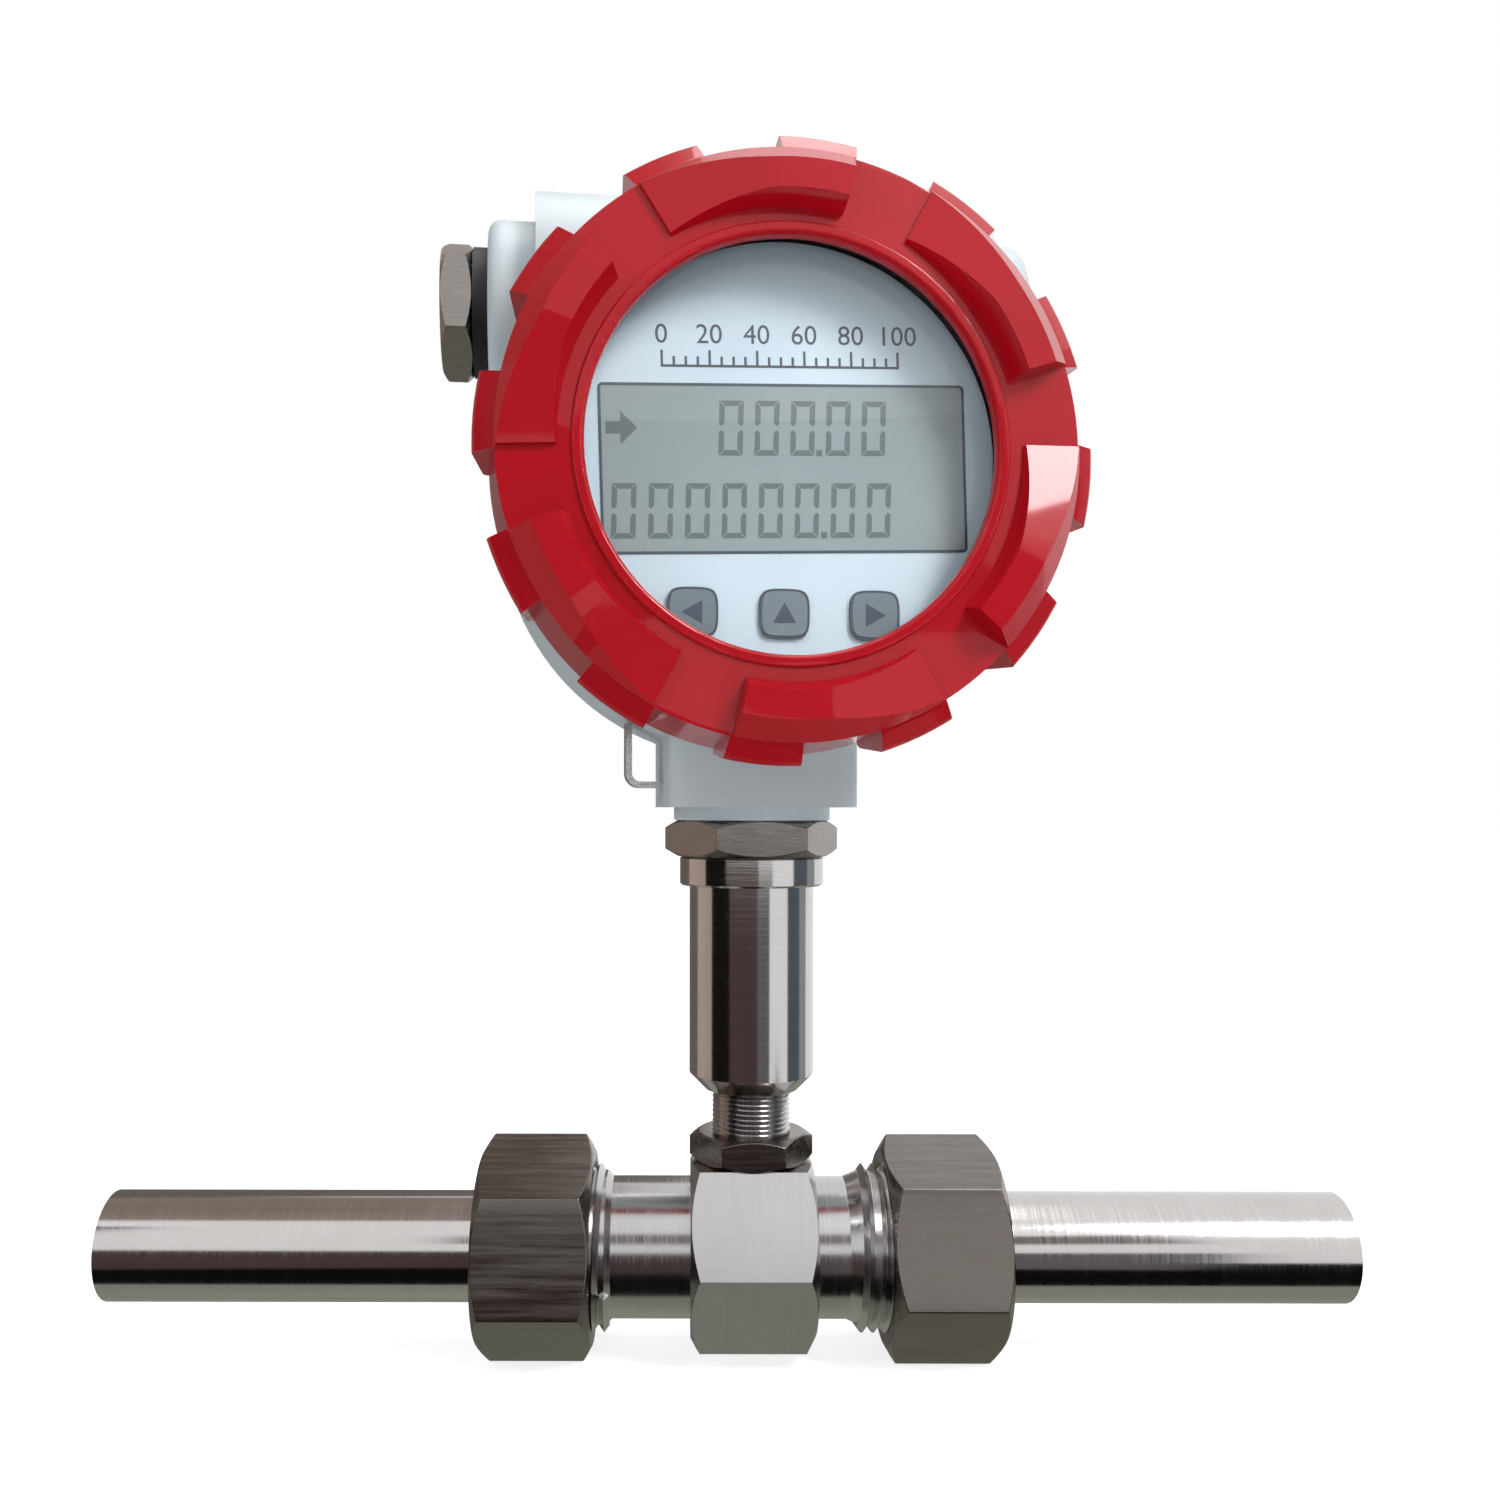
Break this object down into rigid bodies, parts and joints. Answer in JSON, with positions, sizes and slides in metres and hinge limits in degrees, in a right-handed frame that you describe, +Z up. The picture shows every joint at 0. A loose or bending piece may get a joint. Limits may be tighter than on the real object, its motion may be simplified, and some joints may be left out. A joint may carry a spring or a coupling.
{
  "type": "turbine flow meter",
  "caption": "Turbine flow meter with union ends, a stem and a round display head under a screwed window cover.",
  "frame": {"origin": "where the axis of the pipe crosses the axis of the stem, at the middle of the rotor", "axes": "+X along the flow from the inlet to the outlet, +Z up the stem to the display head, -Y towards the reader of the display"},
  "size_m": [0.2515, 0.0832, 0.2346],
  "materials": {
    "turned_steel": "turned stainless steel",
    "milled_steel": "milled stainless steel, a little warmer",
    "polished_steel": "polished stainless tube",
    "rotor_steel": "magnetic stainless steel",
    "spring_steel": "spring steel",
    "carbide": "ground hard metal",
    "magnet": "magnet and soft iron",
    "copper_coil": "enamelled copper wire",
    "gasket_fibre": "compressed fibre",
    "black_rubber": "black rubber",
    "pale_paint": "pale grey-blue powder coat on cast aluminium",
    "red_paint": "glossy red powder coat on cast aluminium",
    "bare_aluminium": "turned",
    "clear_glass": "clear toughened glass",
    "panel_film": "printed film, pale silver blue",
    "lcd_film": "grey-green liquid crystal display",
    "key_plastic": "dark grey moulded keys",
    "dark_plastic": "black moulding",
    "white_plastic": "white moulding",
    "green_plastic": "green terminal moulding",
    "circuit_board": "glass-fibre board",
    "brass": "turned brass",
    "cell_wrap": "plain shrink wrap"
  },
  "bodies": {
    "meter": {"meter_body": "turned_steel", "inlet_flow_guide": "turned_steel", "outlet_flow_guide": "turned_steel", "inlet_bearing": "carbide", "outlet_bearing": "carbide", "inlet_retaining_ring": "spring_steel", "outlet_retaining_ring": "spring_steel", "inlet_gasket": "gasket_fibre", "outlet_gasket": "gasket_fibre", "pickup_sleeve": "turned_steel", "pickup_magnet": "magnet", "pickup_core": "magnet", "pickup_coil": "copper_coil", "stem_lock_nut": "milled_steel", "stem_tube": "polished_steel", "amplifier_board": "circuit_board", "head_lock_nut": "milled_steel"},
    "turbine": {"rotor": "rotor_steel", "rotor_shaft": "carbide"},
    "inlet_pipe": {"inlet_tail_pipe": "turned_steel"},
    "inlet_nut": {"inlet_union_nut": "milled_steel"},
    "outlet_pipe": {"outlet_tail_pipe": "turned_steel"},
    "outlet_nut": {"outlet_union_nut": "milled_steel"},
    "head": {"head_housing": "pale_paint", "tag_loop": "spring_steel", "display_panel": "panel_film", "lcd_panel": "lcd_film", "lcd_backlight": "white_plastic", "display_board": "circuit_board", "key_switches": "dark_plastic", "display_carrier": "white_plastic", "terminal_board": "circuit_board", "rear_pillars": "brass", "front_pillars": "brass", "battery_holder": "dark_plastic", "battery_cell": "cell_wrap", "terminal_block": "green_plastic"},
    "window": {"window_glass": "clear_glass"},
    "cover": {"front_cover": "red_paint", "window_gasket": "black_rubber", "glass_clamp_ring": "bare_aluminium", "cover_o_ring": "black_rubber"},
    "key_left": {"left_key": "key_plastic"},
    "key_middle": {"middle_key": "key_plastic"},
    "key_right": {"right_key": "key_plastic"},
    "plug_washer": {"conduit_plug_seal": "black_rubber"},
    "plug": {"conduit_plug": "milled_steel"}
  },
  "joints": [
    {"name": "rotor_spin", "type": "hinge", "parent": "meter", "child": "turbine", "pos_m": [0, 0, 0], "axis": [1, 0, 0], "continuous": true},
    {"name": "head_swivel", "type": "hinge", "parent": "meter", "child": "head", "pos_m": [0, 0, 0.0878], "axis": [0, 0, 1], "range_deg": [-175, 175]},
    {"name": "cover_travel", "type": "slide", "parent": "head", "child": "window", "axis": [0.1167, -0.9932, 0], "range_m": [0, 0.014]},
    {"name": "cover_turn", "type": "hinge", "parent": "window", "child": "cover", "pos_m": [0.0028, -0.02384, 0.153], "axis": [0.1167, -0.9932, 0], "range_deg": [0, 2520]},
    {"name": "inlet_pipe_slide", "type": "slide", "parent": "meter", "child": "inlet_pipe", "axis": [-1, 0, 0], "range_m": [0, 0.01154]},
    {"name": "inlet_nut_turn", "type": "hinge", "parent": "inlet_pipe", "child": "inlet_nut", "pos_m": [-0.045, 0, 0], "axis": [-1, 0, 0], "range_deg": [0, 1801]},
    {"name": "outlet_pipe_slide", "type": "slide", "parent": "meter", "child": "outlet_pipe", "axis": [1, 0, 0], "range_m": [0, 0.01154]},
    {"name": "outlet_nut_turn", "type": "hinge", "parent": "outlet_pipe", "child": "outlet_nut", "pos_m": [0.04, 0, 0], "axis": [1, 0, 0], "range_deg": [0, 1801]},
    {"name": "plug_travel", "type": "slide", "parent": "head", "child": "plug_washer", "axis": [-0.9932, -0.1167, 0], "range_m": [0, 0.0135]},
    {"name": "plug_turn", "type": "hinge", "parent": "plug_washer", "child": "plug", "pos_m": [-0.05323, -0.00625, 0.1895], "axis": [-0.9932, -0.1167, 0], "range_deg": [0, 3241]},
    {"name": "left_key_press", "type": "slide", "parent": "head", "child": "key_left", "axis": [-0.1167, 0.9932, 0], "range_m": [0, 0.0005], "stiffness_N_per_m": 800},
    {"name": "middle_key_press", "type": "slide", "parent": "head", "child": "key_middle", "axis": [-0.1167, 0.9932, 0], "range_m": [0, 0.0005], "stiffness_N_per_m": 800},
    {"name": "right_key_press", "type": "slide", "parent": "head", "child": "key_right", "axis": [-0.1167, 0.9932, 0], "range_m": [0, 0.0005], "stiffness_N_per_m": 800}
  ],
  "couplings": [
    {"joint": "cover_travel", "follows": "cover_turn", "m_per_rad": 0.00031831},
    {"joint": "inlet_nut_turn", "follows": "inlet_pipe_slide", "rad_per_m": 2721.2},
    {"joint": "outlet_nut_turn", "follows": "outlet_pipe_slide", "rad_per_m": 2721.2},
    {"joint": "plug_turn", "follows": "plug_travel", "rad_per_m": 4188.8}
  ]
}
